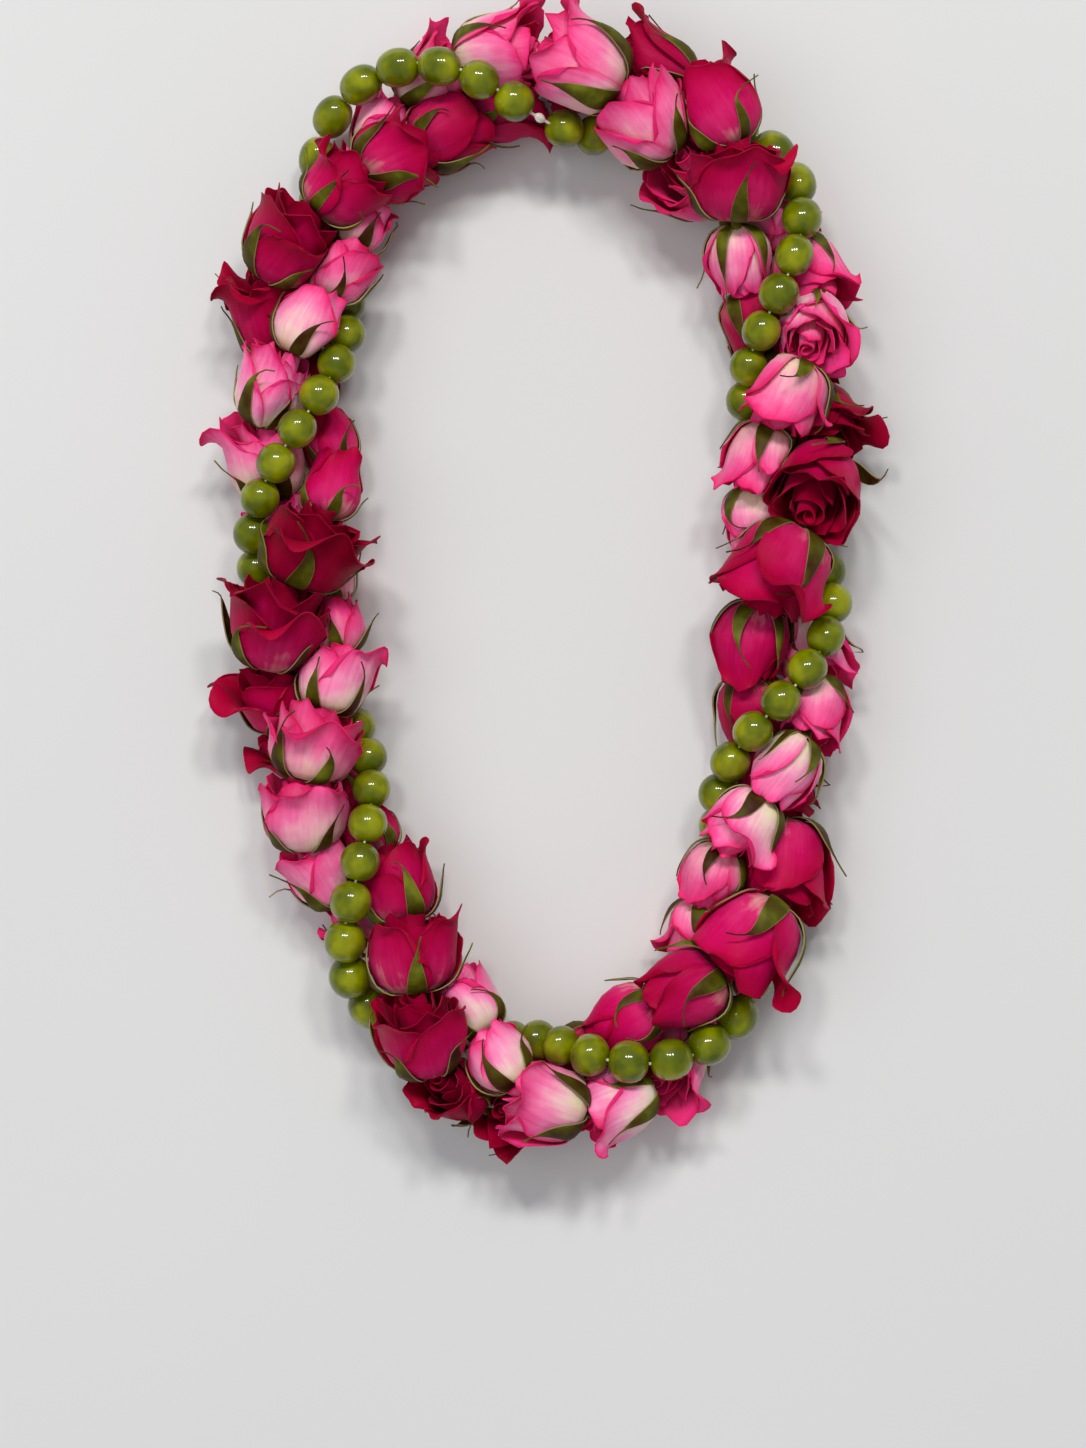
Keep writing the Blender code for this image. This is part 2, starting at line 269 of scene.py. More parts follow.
class Rose:
    """A rose head's base, directions and cell."""

    def __init__(self, string, number):
        start, end = string.joints[number], string.joints[number + 1]
        self.name, self.number = string.name, number
        self.form = FORMS[self.name][number]
        self.depth = int(DEPTHS[self.name][number]) / DEEPEST
        self.skin = "pink" if (self.name, number) in PINKER else self.name
        self.radius = ROSE_SIZES[SIZES[self.name][number]][1]
        self.first, self.last = string.point(start), string.point(end)
        self.height = (self.last - self.first).length
        self.turned = number >= len(SIZES[self.name]) - TURNED_ROUND[self.name]
        way = (self.last - self.first).normalized()
        self.along = way if self.turned else -way
        self.root = self.first if self.turned else self.last
        self.middle = self.root + self.along * self.height * ROSE_MIDDLE
        tip = math.radians(TIPPED[self.form])
        level = (self.along - UP * self.along.z * LEVELLED).normalized()
        upward = (UP - level * level.z).normalized()
        self.axis = level * math.cos(tip) + upward * math.sin(tip)
        self.base = self.middle - self.axis * self.height * ROSE_MIDDLE
        outward = string.outward((start + end) / 2)
        self.side = (outward - self.axis * outward.dot(self.axis)).normalized()
        self.across = self.axis.cross(self.side)
        top = math.atan2(self.across.z, self.side.z)
        steps = int(SEPAL_TURNS[self.name][number])
        self.sepal_turn = top + steps * math.tau / (GAP_STEPS * SEPALS)
        self.planes = [(-UP, self.middle.z - FLOOR_CLEARANCE)]

    def spot(self, radius, angle, height):
        """A point at shares of the rose's radius and height, at an angle round it."""
        outward = self.side * math.cos(angle) + self.across * math.sin(angle)
        return self.base + self.axis * height * self.height + outward * radius * self.radius

    def room(self, way):
        """How far the cell reaches, with the corners between its planes rounded."""
        near = REACH ** -ROUNDING
        for normal, distance in self.planes:
            slant = normal.dot(way)
            if slant > LEAST_SLANT:
                near += (slant / distance) ** ROUNDING
        return near ** (-1 / ROUNDING)

    def pressed(self, point):
        """The point, drawn in towards the rose's middle where a neighbour presses."""
        away = point - self.middle
        way = away.normalized()
        limit = self.room(way)
        free = limit * PRESS_START
        if away.length <= free:
            return point
        give = limit - free
        return self.middle + way * (free + give * math.tanh((away.length - free) / give))


# %% All the beads, and the boundaries between them
berry_string = String("berry", [1] * BERRY_COUNT)
berry_ends = [berry_string.point(s) for s in berry_string.joints]
berry_middles = [(a + b) / 2 for a, b in zip(berry_ends, berry_ends[1:])]
rose_strings = [String(name, [ROSE_SIZES[size][0] for size in sizes])
                for name, sizes in SIZES.items()]
roses = {s.name: [Rose(s, k) for k in range(len(SIZES[s.name]))] for s in rose_strings}

for row in roses.values():
    for first, second in zip(row, row[1:] + row[:1]):
        meet = (first.last + second.first) / 2
        normal = (second.middle - first.middle).normalized()
        nests = NESTING if first.turned == second.turned else 0
        before, after = (nests, 0) if first.turned else (0, nests)
        first.planes.append((normal, normal.dot(meet - first.middle) - CLEARANCE / 2 + before))
        second.planes.append((-normal, normal.dot(second.middle - meet) - CLEARANCE / 2 + after))
for first in roses["magenta"]:
    for second in roses["pink"]:
        gap = second.middle - first.middle
        if gap.length < REACH:
            normal = gap.normalized()
            share = (gap.length ** 2 + first.radius ** 2 - second.radius ** 2) / (2 * gap.length)
            first.planes.append((normal, share - CLEARANCE / 2))
            second.planes.append((-normal, gap.length - share - CLEARANCE / 2))
all_roses = roses["magenta"] + roses["pink"]
for rose in all_roses:
    for middle in berry_middles:
        gap = middle - rose.middle
        if gap.length < REACH:
            rose.planes.append((gap.normalized(), gap.length - BERRY_RADIUS - CLEARANCE))
print("roses:", len(all_roses), "berries:", len(berry_middles))

# %% [markdown]
# ## Helpers
# Blender's operators act on all that is selected, and the loaded part arrives
# selected, so everything is deselected before each new piece. A shape that repeats
# is modelled once, as a blank. Each copy gets its own mesh, its points are placed
# one by one, and then the copies are joined into one piece. A finish is a tree of
# nodes, and one function adds each node with its values and links.


# %% Copying, placing and joining
SMOOTH_BELOW = math.radians(60)     # edges that turn less than this are shaded smooth


def deselect():
    bpy.ops.object.select_all(action="DESELECT")


def copy_of(blank, place, **marks):
    """A copy of a blank, with every point placed and its marks stored on the mesh."""
    part = blank.copy()
    part.data = blank.data.copy()
    bpy.context.collection.objects.link(part)
    for vertex in part.data.vertices:
        vertex.co = place(*vertex.co)
    for name, value in marks.items():
        mark = part.data.attributes.new(name, "FLOAT", "POINT")
        mark.data.foreach_set("value", [value] * len(part.data.vertices))
    return part


def joined(parts, name, materials):
    """The parts as one piece, in its materials."""
    deselect()
    for part in parts:
        part.select_set(True)
    bpy.context.view_layer.objects.active = parts[0]
    if len(parts) > 1:
        bpy.ops.object.join()
    piece = bpy.context.object
    piece.name = piece.data.name = name
    piece.data.materials.clear()
    for material in materials:
        piece.data.materials.append(material)
    return piece


def apply_modifier(piece, kind, **settings):
    """Adds one modifier with its settings, and makes it part of the mesh."""
    modifier = piece.modifiers.new(kind.title(), kind)
    for name, value in settings.items():
        setattr(modifier, name, value)
    deselect()
    piece.select_set(True)
    bpy.context.view_layer.objects.active = piece
    bpy.ops.object.modifier_apply(modifier=modifier.name)


def finish_piece(piece, nodes):
    """Smooths the piece, and ties it to the CAD nodes it stands for."""
    deselect()
    piece.select_set(True)
    bpy.context.view_layer.objects.active = piece
    bpy.ops.object.shade_smooth_by_angle(angle=SMOOTH_BELOW)
    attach(piece, "root")
    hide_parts(*nodes)


# %% Colours and nodes for the finishes
def linear(hex_colour):
    """An sRGB hex colour as the linear colour that a shader reads."""
    shares = [int(hex_colour[i:i + 2], 16) / 255 for i in (1, 3, 5)]
    return (*(c / 12.92 if c <= 0.04045 else ((c + 0.055) / 1.055) ** 2.4
              for c in shares), 1)


def add(tree, kind, inputs=None, stops=(), **settings):
    """Adds one node, with its settings, its colour stops and its inputs set or linked."""
    node = tree.nodes.new("ShaderNode" + kind)
    for name, value in settings.items():
        setattr(node, name, value)
    for name, value in (inputs or {}).items():
        if isinstance(value, bpy.types.NodeSocket):
            tree.links.new(value, node.inputs[name])
        else:
            node.inputs[name].default_value = value
    for i, (place, colour) in enumerate(stops):
        ramp = node.color_ramp.elements
        element = ramp[i] if i < len(ramp) else ramp.new(place)
        element.position = place
        element.color = linear(colour)
    return node


def new_finish(name, **settings):
    """A material, its node tree and its shader, with the shader's constants set."""
    material = bpy.data.materials.new(name)
    material.use_nodes = True
    shader = material.node_tree.nodes["Principled BSDF"]
    for setting, value in settings.items():
        shader.inputs[setting.replace("_", " ")].default_value = value
    return material, material.node_tree, shader


print("deep magenta as a shader reads it:", [round(c, 3) for c in linear("#8A0226")])

# %% [markdown]
# ## Petal finish
# A rose petal is a thin matt sheet of living cells, velvety at a slant. Colour
# fades from the rim down to a pale, slightly green foot, fine veins fan out
# along it, and the side that faces the heart is deeper than the back. A painted
# image could show that, but every petal would be alike. Here noise and ramps read
# the petal's own UV map, which runs across it and from foot to rim, and two marks
# on its mesh, a depth and a seed, make it deeper or paler and unlike the others.

# %% A petal material
VEINS_ACROSS = 34       # about 1 mm apart on a 35 mm petal
FOLDS_ACROSS = 6        # about 6 mm apart
MOTTLE = 1 / (9 * MM)   # soft blotches about 9 mm wide
VEIN_WANDER = 2.2       # how much the veins change from foot to rim
SEED_SPREAD = 53.0      # how far apart in the noise the petals lie
# How far the blotches, the veins and the distance from the middle push a petal's
# colour towards its rim's, and what they come to on average, which is taken off.
BLOTCH_PUSH, VEIN_PUSH, SIDE_PUSH = 0.46, 0.28, 0.5
MEAN_PUSH = 0.49
FOLD_HEIGHT = 5.0       # how much higher the folds stand than the veins


def petal_finish(name, pale, deep, edge):
    """Petal skin from foot to rim, for a pale and for a deep rose."""
    # Petal skin is rough, hardly glossy and lets light through, which gives the eye
    # velvet: soft shades in the folds, a glow in thin rims, and no hard highlight.
    material, tree, shader = new_finish(
        name, Roughness=0.5, IOR=1.4, Sheen_Weight=0.02, Sheen_Roughness=0.3,
        Subsurface_Weight=0.25, Subsurface_Scale=2.0 * MM,
        Subsurface_Radius=(1.0, 0.2, 0.25), Specular_IOR_Level=0.08)
    spots = add(tree, "TexCoord")
    sheet = add(tree, "SeparateXYZ", {0: spots.outputs["UV"]})
    seed = add(tree, "Attribute", attribute_name="seed")
    depth = add(tree, "Attribute", attribute_name="depth")
    lines = add(tree, "Math", {0: sheet.outputs[0], 1: VEINS_ACROSS}, operation="MULTIPLY")
    rise = add(tree, "Math", {0: sheet.outputs[1], 1: VEIN_WANDER}, operation="MULTIPLY")
    shift = add(tree, "Math", {0: seed.outputs["Fac"], 1: SEED_SPREAD}, operation="MULTIPLY")
    fan = add(tree, "CombineXYZ", {0: lines.outputs[0], 1: rise.outputs[0], 2: shift.outputs[0]})
    veins = add(tree, "TexNoise", {"Vector": fan.outputs[0], "Scale": 1.0, "Detail": 2.0})
    folds = add(tree, "TexNoise", {
        "Vector": fan.outputs[0], "Scale": FOLDS_ACROSS / VEINS_ACROSS, "Detail": 1.0})
    blotches = add(tree, "TexNoise", {
        "Vector": spots.outputs["Object"], "Scale": MOTTLE, "Detail": 3.0})
    lifted = add(tree, "Math", {
        0: blotches.outputs["Fac"], 1: BLOTCH_PUSH, 2: sheet.outputs[1]},
        operation="MULTIPLY_ADD")
    streaked = add(tree, "Math", {
        0: veins.outputs["Fac"], 1: VEIN_PUSH, 2: lifted.outputs[0]}, operation="MULTIPLY_ADD")
    centred = add(tree, "Math", {0: sheet.outputs[0], 1: 0.5}, operation="SUBTRACT")
    sideways = add(tree, "Math", {0: centred.outputs[0]}, operation="ABSOLUTE")
    spread = add(tree, "Math", {
        0: sideways.outputs[0], 1: SIDE_PUSH, 2: streaked.outputs[0]},
        operation="MULTIPLY_ADD")
    level = add(tree, "Math", {0: spread.outputs[0], 1: MEAN_PUSH}, operation="SUBTRACT")
    pale_skin = add(tree, "ValToRGB", {0: level.outputs[0]}, stops=pale)
    deep_skin = add(tree, "ValToRGB", {0: level.outputs[0]}, stops=deep)
    skin = add(tree, "Mix", {
        0: depth.outputs["Fac"], 6: pale_skin.outputs[0], 7: deep_skin.outputs[0]},
        data_type="RGBA")
    # The rim and the sides of each petal are mixed towards its edge colour. At the rim that is a
    # darker rim colour; along the sides it is painted shade, the thin dark line where one petal's
    # edge lies over the next.
    rim = add(tree, "MapRange", {
        "Value": sheet.outputs[1], "From Min": 0.90, "From Max": 1.0, "To Max": 0.7})
    sides = add(tree, "MapRange", {
        "Value": sideways.outputs[0], "From Min": 0.42, "From Max": 0.5, "To Max": 0.45})
    margin = add(tree, "Math", {0: rim.outputs[0], 1: sides.outputs[0]}, operation="MAXIMUM")
    rim_and_painted_shade = add(tree, "Mix", {
        0: margin.outputs[0], 6: skin.outputs[2], 7: linear(edge)}, data_type="RGBA")
    tree.links.new(rim_and_painted_shade.outputs[2], shader.inputs["Base Color"])
    height = add(tree, "Math", {
        0: folds.outputs["Fac"], 1: FOLD_HEIGHT, 2: veins.outputs["Fac"]},
        operation="MULTIPLY_ADD")
    bump = add(tree, "Bump", {
        "Height": height.outputs[0], "Strength": 0.6, "Distance": 0.25 * MM})
    tree.links.new(bump.outputs[0], shader.inputs["Normal"])
    return material


# %% The back and the face of both kinds of petal
# Each edge colour darkens a petal's rim, and along the petal's sides it is also painted shade.
PETAL_SKINS = {
    "magenta": [
        petal_finish(
            "magenta petal back",
            pale=[(0.0, "#E89C9C"), (0.16, "#DE2E74"), (0.40, "#D00A5E"),
                  (0.66, "#C00448"), (0.9, "#AE0236")],
            deep=[(0.0, "#AE123E"), (0.18, "#A00434"), (0.50, "#8A0226"), (0.95, "#700118")],
            edge="#960230"),
        petal_finish(
            "magenta petal face",
            pale=[(0.0, "#B00642"), (0.4, "#B6033C"), (0.9, "#B60238")],
            deep=[(0.0, "#640114"), (0.5, "#7E0120"), (0.95, "#94022A")],
            edge="#980230"),
    ],
    "pink": [
        petal_finish(
            "pink petal back",
            pale=[(0.0, "#F2EDB6"), (0.20, "#FBDCCA"), (0.44, "#FF9AC0"),
                  (0.74, "#FA5498"), (1.0, "#EE246E")],
            deep=[(0.0, "#F6C4B0"), (0.22, "#F87CA8"), (0.48, "#F43482"), (0.95, "#E0145A")],
            edge="#DE1E5C"),
        petal_finish(
            "pink petal face",
            pale=[(0.0, "#E64A8C"), (0.5, "#F0448E"), (0.95, "#EE327E")],
            deep=[(0.0, "#A00A3A"), (0.5, "#B80E48"), (0.95, "#D0185A")],
            edge="#D81E5C"),
    ],
}
print("petal skins:", [skin.name for pair in PETAL_SKINS.values() for skin in pair])

# %% [markdown]
# ## Petals
# A florist's rose has five or so broad outer petals, a whorl of smaller ones, and
# a rolled heart. Each could be sculpted, but there are over a thousand. So one kind
# of flat sheet serves them all: its copies are wrapped round the rose along a
# profile that runs from the foot over the belly to the lip. The outermost two may
# fall open. Solidify then gives the sheets a petal's thickness.

# %% The flat petal blanks
def flat_blank(name, columns, rows):
    """A flat sheet, from -1 to 1 across and from 0 to 1 along."""
    deselect()
    bpy.ops.mesh.primitive_grid_add(x_subdivisions=columns, y_subdivisions=rows, size=2)
    blank = bpy.context.object
    blank.name = name
    bpy.ops.object.mode_set(mode="EDIT")
    bpy.ops.mesh.select_all(action="SELECT")
    bpy.ops.transform.translate(value=(0, 1, 0))
    bpy.ops.transform.resize(value=(1, 0.5, 1), center_override=(0, 0, 0))
    bpy.ops.object.mode_set(mode="OBJECT")
    return blank


petal_blank = flat_blank("petal_blank", 28, 10)
fallen_petal_blank = flat_blank("fallen_petal_blank", 36, 10)   # its rim is seen large
small_petal_blank = flat_blank("small_petal_blank", 10, 8)
heart_blank = flat_blank("heart_blank", 44, 5)
print("petal blank:", len(petal_blank.data.polygons), "faces, y from",
      round(min(v.co.y for v in petal_blank.data.vertices), 2), "to",
      round(max(v.co.y for v in petal_blank.data.vertices), 2))

# %% The profile of each form
# Shares of the rose's radius and height, from the foot to a lip that isn't rolled.
PROFILE_KNOTS = {
    "bud": [(0.20, 0.03), (0.52, 0.08), (0.78, 0.22), (0.91, 0.42),
            (0.90, 0.64), (0.80, 0.84), (0.68, 1.00), (0.62, 1.14)],
    "cup": [(0.20, 0.03), (0.56, 0.07), (0.85, 0.20), (0.99, 0.40),
            (1.04, 0.61), (1.07, 0.81), (1.12, 0.99), (1.18, 1.15)],
    "open": [(0.20, 0.03), (0.58, 0.06), (0.88, 0.19), (1.03, 0.38),
             (1.12, 0.58), (1.20, 0.76), (1.31, 0.90), (1.44, 1.00)],
    "heart": [(0.05, 0.20), (0.14, 0.30), (0.20, 0.42), (0.23, 0.56),
              (0.23, 0.70), (0.22, 0.82), (0.20, 0.91), (0.18, 0.99)],
}
PROFILE_STEPS = 6
PROFILES = {name: smooth_line([Vector((r, h, 0)) for r, h in knots], PROFILE_STEPS)
            for name, knots in PROFILE_KNOTS.items()}
FORM_PROFILE = {"b": "bud", "c": "cup", "o": "open", "h": "cup", "t": "cup", "f": "open"}
# How often one of the outermost petals of each form falls open.
FALL_CHANCE = {"b": 0.1, "c": 0.3, "o": 0.6, "h": 0.0, "t": 0.5, "f": 0.2}
# How far the lips of each form roll outward, in radians.
LIP_ROLL = {"b": (0.2, 1.2), "c": (0.7, 2.3), "o": (1.0, 2.6),
            "h": (0.8, 2.4), "t": (0.9, 2.4), "f": (0.8, 2.2)}


def follow(profile, share):
    """The radius and height a share of the way along a profile."""
    spot = max(share, 0) * (len(profile) - 1)
    i = min(int(spot), len(profile) - 2)
    return profile[i].lerp(profile[i + 1], spot - i)


for name, profile in PROFILES.items():
    print(name, "halfway up:", [round(value, 2) for value in follow(profile, 0.5).xy])

# %% The petals of one rose
GOLDEN_ANGLE = math.radians(137.5)
# How far in from the outside, 0, to the heart, 1, each petal sits.
OUTER_SHARES = [0.0, 0.06, 0.115, 0.17, 0.225]
INNER_SHARES = [0.29, 0.37, 0.45, 0.53, 0.62, 0.71, 0.80]
MAY_FALL = 2                            # how many of the outermost petals may fall open
FALLEN_HINGE, FALLEN_ROLL = 0.5, 1.7    # how low such a petal bends, and how far
COVERS = 0.85                           # the share of a petal's span that hides an edge
HEART = {
    "share": 1.0, "span": 7.4, "taper": 0, "tall": 1.0, "shoulder": 6.0, "drop": 0.2,
    "slant": 0.0, "point": 0.0, "hinge": 0.8, "roll": 0.3, "skew": 0.0, "peel": (0, 0),
    "ruffle": 0.04, "waves": 11.0, "phase": 0.0, "coil": 0.8,
}


def covered(edge, petals):
    """Whether one of the petals lies over an edge at this angle."""
    return any(abs((edge - petal["turn"] + math.pi) % math.tau - math.pi)
               < COVERS * petal["span"] for petal in petals)


def petals_of(rose, luck):
    """Each petal from the outside in, a golden angle on from the last."""
    first_turn = luck.uniform(0, math.tau)
    petals = []
    for k, share in enumerate(OUTER_SHARES + INNER_SHARES):
        outer = k < len(OUTER_SHARES)
        falls = k < MAY_FALL and luck.random() < FALL_CHANCE[rose.form]
        turn = first_turn + k * GOLDEN_ANGLE + luck.uniform(-0.2, 0.2)
        span = luck.uniform(1.25, 1.6) if outer else luck.uniform(1.3, 1.65)
        blank = petal_blank if outer else small_petal_blank
        petals.append({
            "blank": fallen_petal_blank if falls else blank,
            "share": share,
            "turn": turn,
            "span": span,
            "tall": luck.uniform(0.84, 1.02) if outer else luck.uniform(0.92, 1.06) - 0.1 * share,
            "shoulder": luck.uniform(1.7, 3.2),
            "drop": luck.uniform(0.26, 0.46),
            "slant": luck.uniform(-0.08, 0.08),
            "point": luck.uniform(0.0, 0.09),
            "taper": 0.3,
            "hinge": FALLEN_HINGE if falls else luck.uniform(0.66, 0.82),
            "roll": (FALLEN_ROLL if falls
                     else luck.uniform(*LIP_ROLL[rose.form]) * (1 - share) ** 1.5),
            "skew": luck.uniform(-0.7, 0.7),
            "peel": [0.0 if covered(turn + side * span, petals) else luck.uniform(0.04, 0.18)
                     for side in (-1, 1)],
            "ruffle": luck.uniform(0.03, 0.085),
            "waves": luck.uniform(5.0, 10.0),
            "phase": luck.uniform(0, 6.28),
            "coil": 0.02 if outer else 0.06,
            "depth": min(max(rose.depth + luck.uniform(-0.16, 0.16), 0), 1),
            "seed": luck.random(),
        })
    petals.append({**HEART, "blank": heart_blank, "turn": first_turn,
                   "depth": rose.depth, "seed": luck.random()})
    return petals


print("petals on one rose:", len(OUTER_SHARES + INNER_SHARES), "and a heart")

# %% Where a petal's points lie
LIP_STRETCH = 1.2                   # how much longer a lip is than its profile
HINGE_STEP = 0.04                   # how far below its hinge the lip's direction is taken
# A lip rolls least at its middle and at its sides, and most halfway between.
LEAST_ROLL, ROLL_SIDE, ROLL_TURN = 0.3, 0.9, 3.2
LEAST_BEND = 0.001                  # radians; a straight lip can't be divided by its bend
DENT_DEPTH = 0.035
DENTS_ROUND, DENTS_UP, DENT_CHANGE = 2, 9, 5
COLUMN_DRAW, ROW_DRAW = 0.25, 1.5   # draw a petal's columns to its sides and its rows to its rim
POINT_WIDTH = 0.2                   # of the small point in the middle of a rim
NICK_DEPTH, NICKS = 0.009, 15       # the small waves in a rim's line
RIM_POWER = 5                       # ruffles and peeling start late, and grow quickly
PEEL_RISE = 1.4                     # how soon its sides are as free as they get
RUFFLE_LIFT = 0.6                   # how much of a ruffle goes up rather than outward


def layer(profile, share, reach):
    """A petal's profile: the form's own outside, and nearer the heart's further in."""
    return follow(profile, reach).lerp(follow(PROFILES["heart"], reach), share)


def lip_at(rose, petal, profile, across, past):
    """The radius and height of a lip, as shares, past the hinge where it starts to roll."""
    before = layer(profile, petal["share"], petal["hinge"] - HINGE_STEP)
    hinge = layer(profile, petal["share"], petal["hinge"])
    up = ((hinge - before) * Vector((rose.radius, rose.height, 0))).normalized()
    out = Vector((up.y, -up.x, 0))
    length = past * (1 - petal["hinge"]) * rose.height * LIP_STRETCH
    halfway = math.sin(min(abs(across), ROLL_SIDE) * ROLL_TURN) ** 2
    roll = petal["roll"] * (LEAST_ROLL + halfway)
    bend = max(roll * (1 + petal["skew"] * across) * past, LEAST_BEND)
    step = up * math.sin(bend) / bend + out * (1 - math.cos(bend)) / bend
    return hinge.x + step.x * length / rose.radius, hinge.y + step.y * length / rose.height


def dented(share, angle, reach, rose):
    """Low dents that all the layers of a rose share."""
    wave = (math.sin(DENTS_ROUND * angle + DENTS_UP * reach)
            * math.sin(DENT_CHANGE * reach + rose.number))
    return 1 + DENT_DEPTH * (1 - share) * wave


def on_petal(rose, petal, x, y):
    """Where a point of the flat blank lies on the rose."""
    across = x * (1 + COLUMN_DRAW - COLUMN_DRAW * x ** 2)
    along = 1 - (1 - y) ** ROW_DRAW
    end = 1 - petal["drop"] * abs(across) ** petal["shoulder"]
    end += petal["slant"] * across + petal["point"] * math.exp(-(across / POINT_WIDTH) ** 2)
    end += NICK_DEPTH * math.sin(NICKS * across + petal["phase"])
    reach = along * end * petal["tall"]
    profile = PROFILES[FORM_PROFILE[rose.form]]
    if reach > petal["hinge"]:
        past = (reach - petal["hinge"]) / (1 - petal["hinge"])
        radius, height = lip_at(rose, petal, profile, across, past)
    else:
        radius, height = layer(profile, petal["share"], reach).xy
    angle = petal["turn"] + across * petal["span"] * (1 - petal["taper"] * y ** 3)
    ripple = (petal["ruffle"] * math.sin(petal["waves"] * across + petal["phase"])
              * reach ** RIM_POWER)
    peel = petal["peel"][across > 0] * abs(across) ** RIM_POWER
    radius += ripple + peel * min(PEEL_RISE * reach, 1)
    height += RUFFLE_LIFT * ripple
    radius *= 1 + petal["coil"] * across
    radius *= dented(petal["share"], angle, reach, rose)
    return rose.pressed(rose.spot(radius, angle, height))


# %% Dress each pair of roses in petals
PETAL_THICKNESS = 0.4 * MM
ROSES_PER_NODE = 2


def rose_nodes():
    """Each CAD node of roses, with its string's name and its two roses."""
    for name, row in roses.items():
        for i in range(0, len(row), ROSES_PER_NODE):
            node = f"{name}_roses_{i // ROSES_PER_NODE + 1:02d}"
            yield name, node, row[i:i + ROSES_PER_NODE]


def build_petals(heads, name):
    """All the petals of these roses as one piece, with a back and a face."""
    parts = []
    for rose in heads:
        luck = random.Random(f"{rose.name} {rose.number}")
        for petal in petals_of(rose, luck):
            parts.append(copy_of(
                petal["blank"], lambda x, y, z: on_petal(rose, petal, x, y),
                depth=petal["depth"], seed=petal["seed"]))
    piece = joined(parts, name, PETAL_SKINS[heads[0].skin])
    apply_modifier(piece, "SOLIDIFY", thickness=PETAL_THICKNESS, offset=-1,
                   material_offset=1)
    return piece


for name, node, pair in rose_nodes():
    for skin in PETAL_SKINS:
        heads = [rose for rose in pair if rose.skin == skin]
        if heads:
            label = "petals" if skin == name else f"{skin}_petals"
            finish_piece(build_petals(heads, f"{node}_{label}"), [node])
petal_faces = sum(len(o.data.polygons) for o in bpy.data.objects if o.name.endswith("_petals"))
print("petal faces:", petal_faces)

# %% [markdown]
# ## Sepal finish
# A sepal is a small leaf: dull green with brown flushes, and paler along its cut
# edge. An image of a leaf could be laid on it, but its broad flushes and its fine
# grain are two sizes of noise, so they are made from that, with no image at all.

# %% Sepal and hip finish
# Leaf skin is rougher than wax and has a little gloss, which gives the eye a dry,
# earthy green between the petals, with a thin light line along each edge.
sepal_skin, tree, shader = new_finish(
    "sepal leaf skin", Roughness=0.55, IOR=1.4, Specular_IOR_Level=0.22)
FLUSHES = 1 / (14 * MM)         # brown flushes about 14 mm wide
LEAF_GRAIN = 1 / (0.8 * MM)     # a grain about 0.8 mm wide
spots = add(tree, "TexCoord")
sheet = add(tree, "SeparateXYZ", {0: spots.outputs["UV"]})
flush = add(tree, "TexNoise", {
    "Vector": spots.outputs["Object"], "Scale": FLUSHES, "Detail": 3.0})
green = add(tree, "ValToRGB", {0: flush.outputs["Fac"]}, stops=[
    (0.34, "#381A04"), (0.43, "#443206"), (0.54, "#4C4A06"), (0.70, "#6E741A")])
centred = add(tree, "Math", {0: sheet.outputs[0], 1: 0.5}, operation="SUBTRACT")
sideways = add(tree, "Math", {0: centred.outputs[0]}, operation="ABSOLUTE")
margin = add(tree, "MapRange", {
    "Value": sideways.outputs[0], "From Min": 0.46, "From Max": 0.5, "To Max": 0.5})
leaf = add(tree, "Mix", {
    0: margin.outputs[0], 6: green.outputs[0], 7: linear("#B8AC72")}, data_type="RGBA")
tree.links.new(leaf.outputs[2], shader.inputs["Base Color"])
grain = add(tree, "TexNoise", {
    "Vector": spots.outputs["Object"], "Scale": LEAF_GRAIN, "Detail": 2.0})
bump = add(tree, "Bump", {"Height": grain.outputs["Fac"], "Strength": 0.3, "Distance": 0.2 * MM})
tree.links.new(bump.outputs[0], shader.inputs["Normal"])
print("finish:", sepal_skin.name)

# %% [markdown]
# ## Sepals, hips and stalks
# Under each rose five narrow green sepals grow from a small round hip on a short
# stalk. They lie along the petals, and their thread-like tips curl away. Drawn
# outlines could be cut from a plane and bent, but each sepal bends in its own way,
# so one flat blank is wrapped five times, as the petals are. The hip and the stalk
# are one bevelled cylinder, placed twice.

# %% The hip and sepal blanks
HIP_RADIUS, HIP_DEPTH, HIP_BEVEL = 0.30, 0.14, 0.03     # shares of a rose's radius and height
deselect()
bpy.ops.mesh.primitive_cylinder_add(vertices=10, radius=HIP_RADIUS, depth=HIP_DEPTH)
hip_blank = bpy.context.object
hip_blank.name = "hip_blank"
bpy.ops.object.mode_set(mode="EDIT")
bpy.ops.mesh.select_all(action="SELECT")
bpy.ops.transform.translate(value=(0, 0, HIP_DEPTH / 2))
bpy.ops.mesh.bevel(offset=HIP_BEVEL, segments=1, affect="EDGES")
bpy.ops.object.mode_set(mode="OBJECT")
sepal_blank = flat_blank("sepal_blank", 4, 12)
print("hip blank:", len(hip_blank.data.polygons), "faces, sepal blank:",
      len(sepal_blank.data.polygons))

# %% Wrap five sepals round each rose
SEPAL_THICKNESS = 0.5 * MM
SEPAL_LIFT, SEPAL_ARCH = 0.06, 0.02     # how far it is off the petals, and its arch
NARROWING, BROADNESS = 1.25, 0.85       # how soon it narrows, and how broad it stays till then
TIP_WIDTH, TIP_END = 0.015, 1.1         # the thread-like tip, and where it would end
STALK_WIDTH, STALK_LENGTH, STALK_START = 6.5 * MM, 30 * MM, 2.6 * MM


